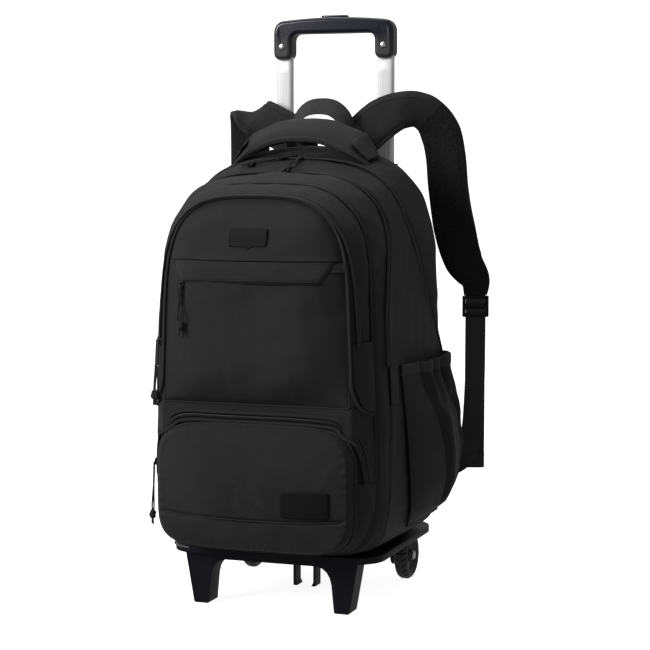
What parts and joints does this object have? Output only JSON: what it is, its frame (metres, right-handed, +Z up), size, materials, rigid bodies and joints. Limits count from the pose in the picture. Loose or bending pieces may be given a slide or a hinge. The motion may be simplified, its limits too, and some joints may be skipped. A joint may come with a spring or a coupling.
{
  "type": "wheeled backpack",
  "caption": "Soft backpack on a moulded base with small wheels, front feet, padded straps, zip pockets and a telescopic trolley handle.",
  "frame": {"origin": "middle of the bounding box's foot, on the floor, measured without the zip-pull cords", "axes": "+X to the right seen from the front, +Y to the back where the trolley handle is, +Z up"},
  "size_m": [0.3838, 0.33, 0.7045],
  "materials": {
    "cloth": "woven nylon with a satin sheen",
    "webbing": "ribbed webbing",
    "plastic": "fine moulded grain",
    "buckle": "smooth moulding",
    "grip": "smooth, softly glossy",
    "tube": "satin anodised",
    "rivet": "polished dome",
    "tyre": "smooth moulded rubber",
    "hub": "smooth moulding",
    "axle": "plain steel",
    "patch": "soft rubbery face",
    "slider": "dark enamel",
    "cord": "braided cord"
  },
  "bodies": {
    "bag": {"rear_gusset": "cloth", "main_gusset": "cloth", "second_gusset": "cloth", "front_gusset": "cloth", "front_panel": "cloth", "lower_front_panel": "cloth", "lower_pocket": "cloth", "back_panel": "cloth", "side_pocket_left": "cloth", "side_pocket_right": "cloth", "shoulder_strap_left": "cloth", "shoulder_strap_right": "cloth", "anchor_tab_left": "cloth", "anchor_tab_right": "cloth", "grab_handle": "cloth", "zip_welt": "cloth", "lower_webbing_left": "webbing", "lower_webbing_right": "webbing", "tail_webbing_left": "webbing", "tail_webbing_right": "webbing", "hang_loop": "webbing", "base_plate": "plastic", "centre_bracket": "plastic", "tube_yoke": "plastic", "ladder_lock_left": "buckle", "ladder_lock_right": "buckle", "outer_tube_left": "tube", "outer_tube_right": "tube", "wheel_axle_left": "axle", "wheel_axle_right": "axle", "label_patch": "patch", "badge_patch": "patch", "slider_welt": "slider", "slider_front_zip": "slider", "slider_second_zip": "slider", "slider_pocket": "slider", "slider_main_left": "slider", "slider_main_right": "slider", "pull_cord_welt": "cord", "pull_cord_front_zip": "cord", "pull_cord_second_zip": "cord", "pull_cord_pocket": "cord", "pull_cord_main_left": "cord", "pull_cord_main_right": "cord"},
    "trolley_handle": {"grip": "grip", "inner_tube_left": "tube", "inner_tube_right": "tube", "grip_rivet_left": "rivet", "grip_rivet_right": "rivet"},
    "release_button": {"grip_button": "grip"},
    "wheel_left": {"wheel_tyre_left": "tyre", "wheel_hub_left": "hub"},
    "wheel_right": {"wheel_tyre_right": "tyre", "wheel_hub_right": "hub"}
  },
  "joints": [
    {"name": "handle_slide", "type": "slide", "parent": "bag", "child": "trolley_handle", "axis": [0, 0, 1], "range_m": [-0.128, 0.2]},
    {"name": "button_press", "type": "slide", "parent": "trolley_handle", "child": "release_button", "axis": [0, 0, 1], "range_m": [-0.003, 0], "stiffness_N_per_m": 300},
    {"name": "wheel_left_spin", "type": "hinge", "parent": "bag", "child": "wheel_left", "pos_m": [-0.10731, 0.1169, 0.03], "axis": [1, 0, 0], "continuous": true},
    {"name": "wheel_right_spin", "type": "hinge", "parent": "bag", "child": "wheel_right", "pos_m": [0.09869, 0.1169, 0.03], "axis": [1, 0, 0], "continuous": true}
  ]
}
